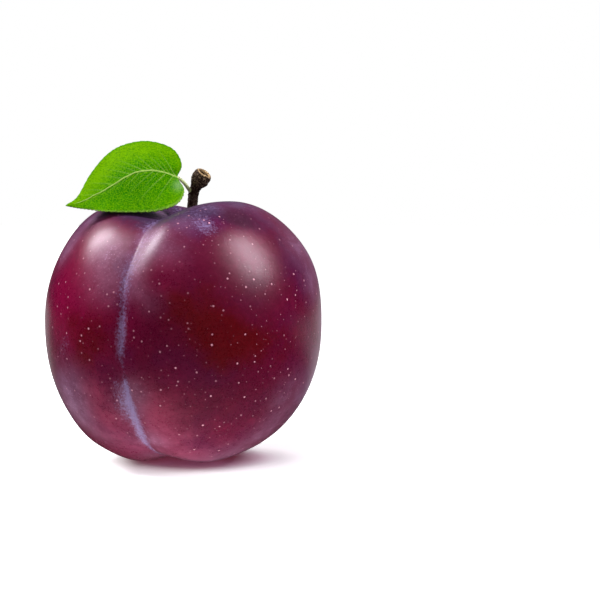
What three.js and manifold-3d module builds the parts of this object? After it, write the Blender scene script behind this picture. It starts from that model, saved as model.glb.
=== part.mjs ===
// A ripe plum with its stem and one leaf.
// Millimetres, +Z up, resting on z = 0, with the origin under the middle of the fruit.
// The fruit's groove faces -Y, turned a little towards -X; the leaf reaches towards -X.
import * as THREE from 'three'
import { mergeVertices } from 'three/addons/utils/BufferGeometryUtils.js'
import Module from 'manifold-3d'

// ---- fruit ----
const HALF_WIDTH = 29.05 // waist radius
const CROWN = 26.6 // height of the shoulders above the waist
const BASE = 29 // depth of the base below the waist
const WAIST_UP = 28.85 // height of the waist above the surface it rests on
const ROUND = { waist: 2.19, crown: 2.74, base: 2.43, rise: 2.5 } // 2 is an ellipse, more is squarer
const FACE = 25.4 // degrees that the groove is turned from -Y towards -X
const LEAN = 3.5 // degrees that the axis through the stem leans towards +X
const BASE_SHIFT = 0.85 // how far the underside is carried towards -X
const CAVITY = { deep: 4.4, radius: 3.9 } // the hollow round the stem
const SADDLE = { deep: 2.3, wide: 11.6, long: 16.5 } // the low waist between the two cheeks at the top
// depth of the groove at angles round the fruit, from the stem (0) over the front to the tip (180)
const GROOVE = [[-180, 1.26], [-150, 0.49], [-110, 0], [-60, 0], [-20, 1], [15, 2.5],
  [50, 1.7], [90, 0.9], [130, 1.15], [165, 1.4], [180, 1.26]]
const BANK = { left: 7.5, right: 4.6, base: 6.1 } // how far the groove's sides reach
const CREASE = { deep: 0.35, wide: 0.9 } // the sharp fold along the groove's bottom
const LOBES = { left: 1.1, right: 0.6, at: 7, wide: 4.5, long: 12 } // the two swellings it rests on
const FRUIT_GRID = { round: 76, down: 40 }

// ---- stem ----
const STEM_PATH = [[1.6, 0, 46.7], [1.75, 0, 50.5], [2, 0, 54.5], [2.28, -0.1, 56.2],
  [2.64, -0.3, 57.25], [3.4, -0.8, 58.6], [4.4, -1.5, 60.1]]
const STEM_RADIUS = [[0, 0.95], [0.45, 0.95], [0.6, 1], [0.7, 1.2], [0.8, 1.72], [0.9, 1.9],
  [0.96, 1.8], [1, 1.55]] // along the path, 0 to 1
const STEM_DISH = { radius: 1.05, deep: 0.7 } // the hollow in the cut end
const SOCKET = { radius: 1.35, floor: 46.4 } // the hole that the stem stands in

// ---- leaf: outlines as [x, z] seen from the front, base to tip ----
const MIDRIB = [[-1.3, 59.1], [-4.3, 60.1], [-7.1, 60.4], [-9.9, 59.9], [-12.9, 58.3],
  [-15.9, 56.4], [-18.4, 55.1], [-20.9, 53.9], [-23.8, 53.3]]
const UPPER_EDGE = [[-1.3, 59.1], [-0.5, 61.7], [-2.2, 65], [-7.3, 66.9], [-12.7, 66],
  [-15.9, 64], [-19.1, 59.9], [-21.8, 54.9], [-23.8, 53.3]]
const LOWER_EDGE = [[-1.3, 59.1], [0.1, 56.5], [-0.8, 53.9], [-4.4, 52.3], [-9.4, 51.9],
  [-15, 52], [-17.9, 52.3], [-21, 52.7], [-23.8, 53.3]]
const TILT = { rib: -5.4, up: 1.05, down: 0.95, tip: -4.5 } // how far back the blade lies, in y
const WAVE = { high: 0.35, count: 2.5 } // the margin's slow ripple
const BLADE = 0.64 // thickness
const TEETH = { count: 24, deep: 0.34, root: 0.28 } // along each side; root is how far in they start
const ACROSS = 4 // strips from midrib to margin
const RIB = { base: 0.52, tip: 0.34 } // radius of the midrib
const PETIOLE = [[-2.6, -5.05, 59.6], [-1.1, -3.9, 58.9], [-0.1, -2.5, 57.9], [0.85, -1.1, 56.6]]
const NECK = { blade: 0.45, stem: 0.42 } // radius of the petiole at its two ends

const wasm = await Module()
wasm.setup()

const rad = THREE.MathUtils.degToRad
const ease = (a, b, x) => THREE.MathUtils.smoothstep(x, a, b)

// a value read from a table of [place, value], in straight lines between its entries
function along(table, x) {
  let i = 1
  while (i < table.length - 1 && x > table[i][0]) i++
  const [a, b] = [table[i - 1], table[i]]
  return a[1] + (b[1] - a[1]) * THREE.MathUtils.clamp((x - a[0]) / (b[0] - a[0]), 0, 1)
}

// a closed geometry as a solid, and a solid as a flat-shaded geometry
function solid(geometry) {
  geometry.deleteAttribute('normal')
  geometry.deleteAttribute('uv')
  const merged = mergeVertices(geometry, 1e-4)
  return new wasm.Manifold(new wasm.Mesh({
    numProp: 3,
    vertProperties: new Float32Array(merged.attributes.position.array),
    triVerts: new Uint32Array(merged.index.array),
  }))
}
function surface(body) {
  const mesh = body.getMesh()
  const geometry = new THREE.BufferGeometry()
  geometry.setAttribute('position', new THREE.BufferAttribute(mesh.vertProperties, 3))
  geometry.setIndex(new THREE.BufferAttribute(mesh.triVerts, 1))
  geometry.computeVertexNormals()
  return geometry
}

// ---- fruit ----
// directions of the groove (g), of its right-hand side (t) and of the stem (k)
const leaning = new THREE.Matrix4().makeRotationY(rad(LEAN))
const g = new THREE.Vector3(-Math.sin(rad(FACE)), -Math.cos(rad(FACE)), 0).applyMatrix4(leaning)
const t = new THREE.Vector3(Math.cos(rad(FACE)), -Math.sin(rad(FACE)), 0).applyMatrix4(leaning)
const k = new THREE.Vector3(0, 0, 1).applyMatrix4(leaning)

// the skin's point at an angle theta from the stem and phi round from the groove
function skin(theta, phi) {
  const lg = Math.sin(theta) * Math.cos(phi)
  const lt = Math.sin(theta) * Math.sin(phi)
  const lk = Math.cos(theta)
  const d = new THREE.Vector3().addScaledVector(g, lg).addScaledVector(t, lt).addScaledVector(k, lk)
  // the body: an upright rounded barrel, squarer towards the crown
  const out = Math.sqrt(Math.max(1 - d.z * d.z, 0))
  const end = d.z > 0 ? ROUND.crown : ROUND.base
  const n = ROUND.waist + (end - ROUND.waist) * Math.abs(d.z) ** ROUND.rise
  const height = d.z > 0 ? CROWN : BASE
  const rho = ((out / HALF_WIDTH) ** n + Math.abs(d.z / height) ** n) ** (-1 / n)
  // the groove, with banks of unlike width, and the fold at its bottom
  const u = rho * lt
  const depth = along(GROOVE, THREE.MathUtils.radToDeg(Math.atan2(lg, lk)))
  const side = u > 0 ? BANK.right : BANK.left
  const wide = side + (BANK.base - side) * ease(0.2, 0.9, -lk)
  const front = ease(-1, 1, rho * lg / 8) * Math.min(depth / 0.9, 1)
  const fold = CREASE.deep * front * Math.exp(-(Math.hypot(u, 0.3) - 0.3) / CREASE.wide)
  // the two lobes of the base
  const swell = (high, at) => high
    * Math.exp(-((rho * lg / LOBES.long) ** 2) - ((u - at) / LOBES.wide) ** 2)
  const lobes = lk < 0 ? swell(LOBES.left, -LOBES.at) + swell(LOBES.right, LOBES.at) : 0
  // the hollow and the saddle at the stem
  const r = rho * Math.sin(theta)
  const sink = lk > 0 ? CAVITY.deep * Math.exp(-((r / CAVITY.radius) ** 2))
    + SADDLE.deep * Math.exp(-((u / SADDLE.wide) ** 2) - (r / SADDLE.long) ** 2) : 0
  const point = d.clone().multiplyScalar(rho - depth * Math.exp(-((u / wide) ** 2)) - fold + lobes)
  point.addScaledVector(k, -sink)
  point.x -= BASE_SHIFT * Math.max(-d.z, 0) ** 2
  point.z += WAIST_UP
  return point
}

// a sphere's grid, closer-set along the groove and at both ends, moved out to the skin
function fruitSolid() {
  const ball = new THREE.SphereGeometry(1, FRUIT_GRID.round, FRUIT_GRID.down)
  const at = ball.attributes.position
  const columns = FRUIT_GRID.round + 1
  for (let i = 0; i < at.count; i++) {
    const a = 2 * Math.PI * ((i % columns) % FRUIT_GRID.round) / FRUIT_GRID.round
    const b = Math.PI * Math.floor(i / columns) / FRUIT_GRID.down
    const p = skin(b - 0.25 * Math.sin(2 * b), a - 0.6 * Math.sin(a))
    at.setXYZ(i, p.x, p.y, p.z)
  }
  const body = solid(ball)
  const under = new THREE.BoxGeometry(90, 90, 10)
  under.translate(0, 0, -5)
  const hole = new THREE.CylinderGeometry(SOCKET.radius, SOCKET.radius, 8, 24)
  hole.rotateX(Math.PI / 2)
  hole.translate(STEM_PATH[0][0], STEM_PATH[0][1], SOCKET.floor + 4)
  return surface(body.subtract(solid(under)).subtract(solid(hole)))
}

// ---- stem ----
// rings carried along the path, swelling to the knob, with a dish in the cut end
function stemSolid() {
  const path = new THREE.CatmullRomCurve3(STEM_PATH.map((p) => new THREE.Vector3(...p)))
  const profile = [[0, 0], [0, along(STEM_RADIUS, 0)]]
  for (let i = 1; i <= 22; i++) profile.push([i / 22, along(STEM_RADIUS, i / 22)])
  const length = path.getLength()
  profile.push([1.02, STEM_DISH.radius], [1 - STEM_DISH.deep / length, STEM_DISH.radius * 0.6])
  profile.push([1 - STEM_DISH.deep / length, 0])
  const turned = new THREE.LatheGeometry(profile.map(([s, r]) => new THREE.Vector2(r, s)), 20)
  const at = turned.attributes.position
  const across = new THREE.Vector3()
  for (let i = 0; i < at.count; i++) {
    const s = at.getY(i)
    const tangent = path.getTangentAt(Math.min(s, 1))
    const centre = path.getPointAt(Math.min(s, 1)).addScaledVector(tangent, Math.max(s - 1, 0) * length)
    const e1 = new THREE.Vector3(0, 1, 0).cross(tangent).normalize()
    across.copy(e1).multiplyScalar(at.getX(i))
    across.addScaledVector(e1.cross(tangent), at.getZ(i))
    at.setXYZ(i, centre.x + across.x, centre.y + across.y, centre.z + across.z)
  }
  return surface(solid(turned))
}

// ---- leaf ----
const curve = (points) => new THREE.CatmullRomCurve3(points.map(([x, z]) => new THREE.Vector3(x, 0, z)))
const midrib = curve(MIDRIB)
const edges = { 1: curve(UPPER_EDGE), '-1': curve(LOWER_EDGE) }

// how far back a point of the blade lies, from its height over the midrib
function back(s, rise, v) {
  const slope = rise > 0 ? TILT.up : TILT.down
  const wave = WAVE.high * v * v * Math.sin(2 * Math.PI * WAVE.count * s) * Math.sin(Math.PI * s)
  return TILT.rib + TILT.tip * s * s + slope * rise + wave
}

// the blade's middle surface: s from base to tip, v from the lower margin (-1) to the upper (1)
function blade(s, v, tooth) {
  const rib = midrib.getPoint(s)
  const edge = edges[v < 0 ? -1 : 1].getPoint(s)
  const reach = edge.clone().sub(rib)
  const length = Math.max(reach.length(), 1e-6)
  const cut = (TEETH.deep * tooth * Math.abs(v) ** 4 - TEETH.root) * Math.min(1, length / 2)
  const p = rib.clone().addScaledVector(reach, Math.abs(v) * (1 + cut / length))
  p.y = back(s, p.z - rib.z, v)
  return p
}

function bladeSolid() {
  const columns = TEETH.count * 3
  const rows = ACROSS * 2
  const saw = [0, 0.6, 1]
  const middle = []
  for (let i = 0; i <= columns; i++) {
    const s = 0.004 + 0.992 * i / columns
    for (let j = 0; j <= rows; j++) middle.push(blade(s, j / ACROSS - 1, saw[i % 3]))
  }
  const id = (i, j) => i * (rows + 1) + j
  const faces = []
  for (let i = 0; i < columns; i++) {
    for (let j = 0; j < rows; j++) {
      faces.push([id(i, j), id(i + 1, j), id(i + 1, j + 1)], [id(i, j), id(i + 1, j + 1), id(i, j + 1)])
    }
  }
  // the two faces stand half a thickness off the middle, along its smoothed normals
  const sheet = new THREE.BufferGeometry().setFromPoints(middle)
  sheet.setIndex(faces.flat())
  sheet.computeVertexNormals()
  const normal = sheet.attributes.normal
  const points = []
  for (const side of [1, -1]) {
    middle.forEach((p, i) => points.push(p.clone().addScaledVector(
      new THREE.Vector3().fromBufferAttribute(normal, i), side * BLADE / 2)))
  }
  const n = middle.length
  const index = [...faces, ...faces.map(([a, b, c]) => [a + n, c + n, b + n])]
  const rim = []
  for (let i = 0; i < columns; i++) rim.push([id(i + 1, 0), id(i, 0)], [id(i, rows), id(i + 1, rows)])
  for (let j = 0; j < rows; j++) rim.push([id(0, j), id(0, j + 1)], [id(columns, j + 1), id(columns, j)])
  for (const [a, b] of rim) index.push([a, b, b + n], [a, b + n, a + n])
  const closed = new THREE.BufferGeometry().setFromPoints(points)
  closed.setIndex(index.flat())
  return solid(closed)
}

// a tapering round rod with closed ends along a curve
function rod(path, r0, r1, steps, sides) {
  const turned = new THREE.LatheGeometry([[0, 0], ...Array.from({ length: steps + 1 },
    (_, i) => [r0 + (r1 - r0) * i / steps, i / steps]), [0, 1]].map((p) => new THREE.Vector2(...p)), sides)
  const at = turned.attributes.position
  for (let i = 0; i < at.count; i++) {
    const tangent = path.getTangentAt(at.getY(i))
    const e1 = new THREE.Vector3(0, 0, 1).cross(tangent).normalize()
    const p = path.getPointAt(at.getY(i)).addScaledVector(e1, at.getX(i))
    p.addScaledVector(e1.cross(tangent), at.getZ(i))
    at.setXYZ(i, p.x, p.y, p.z)
  }
  return solid(turned)
}

function leafSolid() {
  // the midrib stands out under the blade
  const rib = Array.from({ length: 15 }, (_, i) => blade(0.03 + 0.9 * i / 14, 0, 0))
  const under = new THREE.CatmullRomCurve3(rib.map((p) => new THREE.Vector3(p.x, p.y + 0.25, p.z - 0.25)))
  const neck = new THREE.CatmullRomCurve3(PETIOLE.map((p) => new THREE.Vector3(...p)))
  const ribSolid = rod(under, RIB.base, RIB.tip, 24, 8)
  return surface(bladeSolid().add(ribSolid).add(rod(neck, NECK.blade, NECK.stem, 8, 10)))
}

const group = new THREE.Group()
function add(name, geometry, color, roughness) {
  const mesh = new THREE.Mesh(geometry, new THREE.MeshStandardMaterial({ color, roughness, metalness: 0 }))
  mesh.name = name
  group.add(mesh)
}
add('fruit', fruitSolid(), 0x6a1022, 0.4)
add('stem', stemSolid(), 0x4a3626, 0.85)
add('leaf', leafSolid(), 0x5aa010, 0.5)

export default group
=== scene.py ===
"""A ripe plum with its woody stem and one toothed leaf.

Each surface is worked out over a grid in millimetres and put into its mesh in metres, in the
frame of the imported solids.
"""

import math

import bpy
import numpy as np
from bpy.props import FloatProperty, FloatVectorProperty, PointerProperty
from bpy.types import Operator, Panel, PropertyGroup, Scene
from mathutils import Matrix, Vector


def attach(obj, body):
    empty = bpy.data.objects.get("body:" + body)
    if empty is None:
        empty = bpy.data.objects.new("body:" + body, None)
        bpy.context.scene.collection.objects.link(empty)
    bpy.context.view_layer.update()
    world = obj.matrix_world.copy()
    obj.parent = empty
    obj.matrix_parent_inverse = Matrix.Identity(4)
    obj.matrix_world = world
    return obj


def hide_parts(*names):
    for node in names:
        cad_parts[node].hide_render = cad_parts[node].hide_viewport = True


bl_info = {
    "name": "Ripe plum",
    "version": (1, 0, 0),
    "blender": (4, 5, 0),
    "location": "3D View > Sidebar > Plum",
    "description": "Builds a plum with a groove, a waxy bloom, a woody stem and a toothed leaf",
    "category": "Add Mesh",
}

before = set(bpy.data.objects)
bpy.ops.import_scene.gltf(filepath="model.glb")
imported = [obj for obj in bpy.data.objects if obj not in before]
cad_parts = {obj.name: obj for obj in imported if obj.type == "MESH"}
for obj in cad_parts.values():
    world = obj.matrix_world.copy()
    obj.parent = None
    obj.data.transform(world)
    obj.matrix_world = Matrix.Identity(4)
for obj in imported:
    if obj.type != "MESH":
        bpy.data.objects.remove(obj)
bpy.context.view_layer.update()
MM = 0.001


# ---- settings ----


def length(name, mm, words):
    """A length setting in metres, given here in millimetres."""
    return FloatProperty(name=name, description=words, default=mm * MM, unit="LENGTH", precision=5)


def share(name, value, words, top=1.0):
    """A setting without a unit, from 0 to top."""
    return FloatProperty(
        name=name, description=words, default=value, min=0.0, max=top, subtype="FACTOR"
    )


def colour(name, rgb, words):
    """A colour setting, in linear light."""
    return FloatVectorProperty(
        name=name, description=words, default=rgb, size=3, min=0.0, max=1.0, subtype="COLOR"
    )


def angle(name, degrees, words):
    """An angle setting in radians, given here in degrees."""
    return FloatProperty(
        name=name, description=words, default=math.radians(degrees), unit="ROTATION"
    )


def power(name, watts, words):
    """The power of a lamp."""
    return FloatProperty(name=name, description=words, default=watts, unit="POWER")


class FruitSettings(PropertyGroup):
    half_width: length("Half width", 29.05, "Radius of the fruit at its waist")
    crown: length("Crown", 26.6, "Height of the shoulders above the waist")
    base: length("Base", 29.0, "Depth of the base below the waist")
    waist_up: length("Waist height", 28.85, "Height of the waist above the surface")
    cavity: length("Stem hollow", 4.4, "Depth of the hollow round the stem")
    saddle: length("Saddle", 2.3, "Depth of the saddle between the cheeks")
    lean: angle("Lean", 3.5, "How far the axis through the stem leans to the right")
    facing: angle("Groove facing", 25.4, "How far the groove is turned from the front to the left")
    groove: share("Groove", 1.0, "Depth of the groove, as a share of the usual", 2.0)
    bloom: share("Bloom", 1.0, "How much pale wax lies in the groove and at the top", 2.0)
    wine: colour("Wine", (0.132, 0.0008, 0.025), "The skin's main colour")
    blood: colour("Blood red", (0.128, 0.0002, 0.004), "The deep red of the front")
    crimson: colour("Crimson", (0.215, 0.0012, 0.037), "The brighter flush on the left")
    # partly painted bounce light: this light red, low on the cheeks, stands for light thrown up by
    # the floor
    rose: colour("Rose", (0.28, 0.018, 0.062), "The light red low on the cheeks")
    dusk: colour("Dusk", (0.085, 0.003, 0.050), "The purple of the top and of the shaded parts")
    # partly painted shade: this dark slate violet is laid in the stem's hollow and under the
    # leaf's edge
    gloom: colour("Gloom", (0.046, 0.017, 0.054), "The dark slate violet round the stem")
    # dust and painted sheen: this pale veil is also laid along the rims and round the highlights
    dust_sheen_colour: colour("Dust", (0.58, 0.34, 0.54), "The thin dusty veil on the skin")
    wax: colour("Wax", (0.29, 0.22, 0.43), "The pale blue-violet bloom")
    black: colour("Black plum", (0.050, 0.0006, 0.018), "The darkest parts of the skin")
    dot: colour("Dots", (1.0, 0.46, 0.56), "The small pale pores of the skin")


class StemSettings(PropertyGroup):
    thickness: share("Thickness", 1.0, "Thickness of the stem, as a share of the usual", 2.0)
    bark: colour("Bark", (0.027, 0.010, 0.007), "The dark bark of the lower stem")
    crust: colour("Crust", (0.23, 0.165, 0.09), "The paler grey-brown crust of the knob")
    wood: colour("Wood", (0.74, 0.54, 0.27), "The cream wood of the cut end")
    ring: colour("Wood rings", (0.36, 0.18, 0.045), "The darker rings in the wood")
    crack: colour("Cracks", (0.06, 0.025, 0.008), "The dark cracks in the wood")
    pith: colour("Pith", (0.05, 0.022, 0.006), "The hollow in the middle of the wood")


class LeafSettings(PropertyGroup):
    thickness: length("Thickness", 0.32, "Thickness of the blade")
    tooth: length("Tooth", 0.16, "How far the margin's teeth stand out")
    green: colour("Green", (0.048, 0.258, 0.0003), "The blade's main colour")
    # painted light: this lighter green is laid towards the upper margin, the tip and the lower
    # margin
    lime_and_light: colour("Lime", (0.152, 0.392, 0.0006), "The lighter green towards the upper margin")
    # painted shade: this darker green is laid beside the midrib and along the upper margin, and at
    # random in the fine mottling
    deep_and_shade: colour("Deep green", (0.013, 0.165, 0.0002), "The darker green beside the midrib")
    vein: colour("Veins", (0.33, 0.52, 0.10), "The pale midrib and veins")
    stalk: colour("Stalk", (0.80, 0.96, 0.42), "The pale green of the leaf's own stalk")
    # painted sheen: this pale grey-green spot stands for light mirrored on the blade beside the
    # stalk
    pale: colour("Pale spot", (0.36, 0.52, 0.28), "The grey-green spot beside the stalk")
    under: colour("Underside", (0.22, 0.42, 0.12), "The paler green of the lower face")


class StageSettings(PropertyGroup):
    key: power("Key light", 4.0, "Power of the softbox on the left")
    side: power("Side light", 3.1, "Power of the softbox on the right")
    fill: power("Fill light", 0.6, "Power of the wide dim light on the left")
    front: power("Front light", 2.7, "Power of the matt light in front")
    top: power("Top light", 0.3, "Power of the light overhead")
    lamp: colour("Lamp colour", (0.97, 0.92, 1.0), "The colour of every lamp")
    air: colour("Room colour", (0.82, 0.76, 1.0), "The colour that the room throws on the object")
    room: share("Room", 0.17, "Brightness of the pale room behind the object", 3.0)
    bounce: share("Bounce", 1.6, "Light that the floor throws up under the object", 5.0)
    floor: colour("Floor", (0.80, 0.80, 0.80), "The floor's colour")
    # painted shadow: a red-violet tint laid on the floor under the fruit, where its shadow falls
    painted_shadow_tint: colour("Stain", (0.80, 0.61, 0.71), "The tint that the fruit throws on the floor")


# ---- shared tools ----


def ease(a, b, x):
    """0 below a, 1 above b, and a smooth S between them."""
    t = np.clip((x - a) / (b - a), 0.0, 1.0)
    return t * t * (3.0 - 2.0 * t)


def read(table, x):
    """A value read at x from a table of (place, value), in straight lines between its entries."""
    return np.interp(x, *zip(*table))


def hump(x, width):
    """A bell that is 1 at x = 0 and falls to 1/e at width."""
    return np.exp(-((x / width) ** 2))


def ripple(points, wave, seed, count=9):
    """Smooth random relief from -1 to 1: the mean of sines along random directions.

    wave is the shortest wavelength, in the points' own unit, and others run to twice it.
    """
    rng = np.random.default_rng(seed)
    heading = rng.normal(size=(count, 3))
    heading /= np.linalg.norm(heading, axis=1)[:, None]
    turns = 2 * np.pi / (wave * rng.uniform(1.0, 2.0, count))
    phase = rng.uniform(0, 2 * np.pi, count)
    waves = np.sin((points @ heading.T) * turns + phase)
    return waves.sum(-1) / math.sqrt(count) * 0.7


def curve(points, t):
    """The centripetal Catmull-Rom curve through points, at t from 0 to 1 over equal spans."""
    p = np.asarray(points, float)
    p = np.vstack([2 * p[0] - p[1], p, 2 * p[-1] - p[-2]])
    place = np.clip(t, 0, 1) * (len(p) - 3)
    i = np.minimum(place.astype(int), len(p) - 4)
    w = (place - i)[..., None]
    p0, p1, p2, p3 = p[i], p[i + 1], p[i + 2], p[i + 3]
    pairs = ((p0, p1), (p1, p2), (p2, p3))
    d0, d1, d2 = (np.sqrt(np.linalg.norm(b - a, axis=-1))[..., None] for a, b in pairs)
    m1 = ((p1 - p0) / d0 - (p2 - p0) / (d0 + d1) + (p2 - p1) / d1) * d1
    m2 = ((p2 - p1) / d1 - (p3 - p1) / (d1 + d2) + (p3 - p2) / d2) * d1
    square, cube = -3 * p1 + 3 * p2 - 2 * m1 - m2, 2 * p1 - 2 * p2 + m1 + m2
    return p1 + m1 * w + square * w**2 + cube * w**3


def unit(v):
    """Vectors of length 1."""
    return v / np.maximum(np.linalg.norm(v, axis=-1), 1e-12)[..., None]


def quads(rows, columns, wrap=False, first=0):
    """The faces of a grid of points stored row after row; wrap closes each row on itself."""
    i, j = np.meshgrid(np.arange(rows - 1), np.arange(columns - (not wrap)), indexing="ij")
    k = (j + 1) % columns
    return (first + np.stack([i * columns + j, i * columns + k, (i + 1) * columns + k,
                              (i + 1) * columns + j], -1)).reshape(-1, 4)


def fan(middle, first, sides, flip=False):
    """Triangles from the point middle to the ring of points that begins at first."""
    j = first + np.arange(sides)
    pair = (np.roll(j, -1), j) if flip else (j, np.roll(j, -1))
    return np.stack([np.full(sides, middle), *pair], -1).tolist()


def tube(points, radius, turn, first=0):
    """A tube along points: ring after ring, each radius (rings x sides) out at the angles turn.

    The rings stand across the path, and a fan closes each end.
    """
    ahead = unit(np.gradient(points, axis=0))
    side = unit(np.cross(np.array([0.0, 1.0, 0.02]), ahead))
    over = np.cross(ahead, side)
    ring = (side[:, None] * np.cos(turn)[None, :, None]
            + over[:, None] * np.sin(turn)[None, :, None])
    verts = (points[:, None] + ring * radius[..., None]).reshape(-1, 3)
    rings, sides = radius.shape
    end = first + len(verts)
    faces = quads(rings, sides, True, first).tolist()
    faces += fan(end, first, sides, True) + fan(end + 1, end - sides, sides)
    return np.vstack([verts, points[:1], points[-1:]]), faces


def new_object(name, data):
    """An object in the scene with the given mesh, lamp or camera."""
    thing = bpy.data.objects.new(name, data)
    bpy.context.scene.collection.objects.link(thing)
    return thing


def make_piece(name, verts, faces, masks, material, node, uv=None):
    """A smooth-shaded object from points in millimetres, with its masks as point attributes.

    It rides on the root body and stands for its node, whose imported part it hides.
    """
    mesh = bpy.data.meshes.new(name)
    mesh.from_pydata(verts * MM, [], faces)
    for key, values in masks.items():
        layer = mesh.attributes.new(key, "FLOAT", "POINT")
        layer.data.foreach_set("value", np.ascontiguousarray(values, np.float32))
    if uv is not None:
        layer = mesh.uv_layers.new(name="UVMap")
        corner = np.empty(len(mesh.loops), np.int32)
        mesh.loops.foreach_get("vertex_index", corner)
        layer.data.foreach_set("uv", uv[corner].astype(np.float32).ravel())
    mesh.polygons.foreach_set("use_smooth", np.ones(len(mesh.polygons), bool))
    mesh.update()
    if mesh.validate():
        raise RuntimeError(f"{name} has faces that Blender had to repair")
    mesh.materials.append(material)
    piece = new_object(name, mesh)
    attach(piece, "root")
    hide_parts(node)
    return piece


# ---- shader tools ----


class Wiring:
    """A shader tree that adds nodes with their values and links in one call."""

    def __init__(self, tree):
        self.tree = tree

    def add(self, kind, values=None, **fields):
        node = self.tree.nodes.new("ShaderNode" + kind)
        for key, value in fields.items():
            setattr(node, key, value)
        for key, value in (values or {}).items():
            self.put(node.inputs[key], value)
        return node

    def put(self, socket, value):
        if isinstance(value, bpy.types.NodeSocket):
            self.tree.links.new(value, socket)
        elif socket.type == "RGBA" and len(tuple(value)) == 3:
            socket.default_value = (*value, 1.0)
        else:
            socket.default_value = value

    def math(self, operation, first, *others, clamp=False):
        for value in others or (0.0,):
            node = self.add("Math", {0: first, 1: value}, operation=operation,
                            use_clamp=clamp)
            first = node.outputs[0]
        return first

    def times(self, *values):
        return self.math("MULTIPLY", *values)

    def plus(self, *values, clamp=False):
        return self.math("ADD", *values, clamp=clamp)

    def span(self, value, low, high, to_low=0.0, to_high=1.0):
        """value carried from low..high to to_low..to_high along a smooth S."""
        names = ("Value", "From Min", "From Max", "To Min", "To Max")
        values = dict(zip(names, (value, low, high, to_low, to_high)))
        return self.add("MapRange", values, interpolation_type="SMOOTHSTEP").outputs[0]

    def mix(self, share_of, a, b, blend="MIX"):
        node = self.add("Mix", data_type="RGBA", blend_type=blend, clamp_factor=True)
        for key, value in (("Factor_Float", share_of), ("A_Color", a), ("B_Color", b)):
            self.put(next(s for s in node.inputs if s.identifier == key), value)
        return next(s for s in node.outputs if s.identifier == "Result_Color")

    def mask(self, name):
        return self.add("Attribute", attribute_name=name).outputs["Fac"]


VECTOR, FLOAT = "NodeSocketVector", "NodeSocketFloat"


def node_group(name, inputs, outputs, wire):
    """A shader group with named inputs and outputs, built once by wire(tools, inputs, outputs)."""
    if name in bpy.data.node_groups:
        return bpy.data.node_groups[name]
    tree = bpy.data.node_groups.new(name, "ShaderNodeTree")
    for key, kind, value in inputs:
        socket = tree.interface.new_socket(key, in_out="INPUT", socket_type=kind)
        if value is not None:
            socket.default_value = value
    for key, kind in outputs:
        tree.interface.new_socket(key, in_out="OUTPUT", socket_type=kind)
    start, end = tree.nodes.new("NodeGroupInput"), tree.nodes.new("NodeGroupOutput")
    wire(Wiring(tree), start.outputs, end.inputs)
    return tree


def mottle_group():
    """Soft cloudy patches: noise of the given size in millimetres, pushed apart by Contrast."""

    def wire(w, given, out):
        scale = w.math("DIVIDE", 1000.0, given["Size"])
        values = {"Vector": given["Vector"], "Scale": scale, "Detail": 4.0,
                  "Roughness": given["Roughness"], "Distortion": 0.25}
        noise = w.add("TexNoise", values).outputs[0]
        away = w.times(w.math("SUBTRACT", noise, 0.5), given["Contrast"])
        w.put(out["Mask"], w.plus(away, 0.5, clamp=True))

    inputs = [("Vector", VECTOR, None), ("Size", FLOAT, 5.0), ("Contrast", FLOAT, 2.0),
              ("Roughness", FLOAT, 0.55)]
    return node_group("Cloudy mottling", inputs, [("Mask", FLOAT)], wire)


def dots_group():
    """Scattered round dots: the inside of Radius (in cells) about the random point of each cell.

    Cell is the mean spacing in millimetres, and Share is how many of the points show. Ring
    is the same spot about twice as wide.
    """

    def wire(w, given, out):
        scale = w.math("DIVIDE", 1000.0, given["Cell"])
        cell = w.add("TexVoronoi", {"Vector": given["Vector"], "Scale": scale})
        inner = w.times(given["Radius"], 0.45)
        dot = w.span(cell.outputs["Distance"], given["Radius"], inner)
        outer = w.times(given["Radius"], 2.2)
        ring = w.span(cell.outputs["Distance"], outer, given["Radius"])
        draw = w.add("SeparateColor", {0: cell.outputs["Color"]}).outputs[0]
        shown = w.math("LESS_THAN", draw, given["Share"])
        strength = w.span(draw, 0.0, given["Share"], 1.0, 0.3)
        w.put(out["Mask"], w.times(dot, shown, strength))
        w.put(out["Ring"], w.times(ring, shown, strength))

    inputs = [("Vector", VECTOR, None), ("Cell", FLOAT, 2.0), ("Radius", FLOAT, 0.1),
              ("Share", FLOAT, 1.0)]
    return node_group("Scattered dots", inputs, [("Mask", FLOAT), ("Ring", FLOAT)], wire)


def clouds(w, at, size, contrast, rough):
    """Mottling at the points at, with patches of the given size in millimetres."""
    values = {"Vector": at, "Size": size, "Contrast": contrast, "Roughness": rough}
    return w.add("Group", values, node_tree=mottle_group()).outputs["Mask"]


def dots(w, at, cell, radius, share_shown):
    """Dots at the points at; gives them as Mask and the wider spots round them as Ring."""
    values = {"Vector": at, "Cell": cell, "Radius": radius, "Share": share_shown}
    return w.add("Group", values, node_tree=dots_group()).outputs


def add_bump(w, shader, height, strength, distance):
    """Low relief in the shader's normal, from a height of 0 to 1 that stands for distance."""
    values = {"Height": height, "Strength": strength, "Distance": distance}
    w.put(shader.inputs["Normal"], w.add("Bump", values).outputs[0])


def new_material(name, values):
    """A material with only a Principled BSDF of these values; gives it, the tools and the node."""
    material = bpy.data.materials.new(name)
    material.use_nodes = True
    material.node_tree.nodes.clear()
    w = Wiring(material.node_tree)
    shader = w.add("BsdfPrincipled", values)
    w.add("OutputMaterial", {"Surface": shader.outputs[0]})
    return material, w, shader


# ---- fruit ----

# how square the body is, from 2 (an ellipse) up, at the waist, at the crown and at the base, and
# how late the waist gives way to the other two
ROUND_WAIST, ROUND_CROWN, ROUND_BASE, ROUND_RISE = 2.19, 2.74, 2.43, 2.5
BASE_SHIFT = 0.85  # mm that the underside is carried to the left
CAVITY_RADIUS = 3.9
SADDLE_LEFT, SADDLE_RIGHT, SADDLE_LONG = 11.6, 7.6, 16.5
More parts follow.
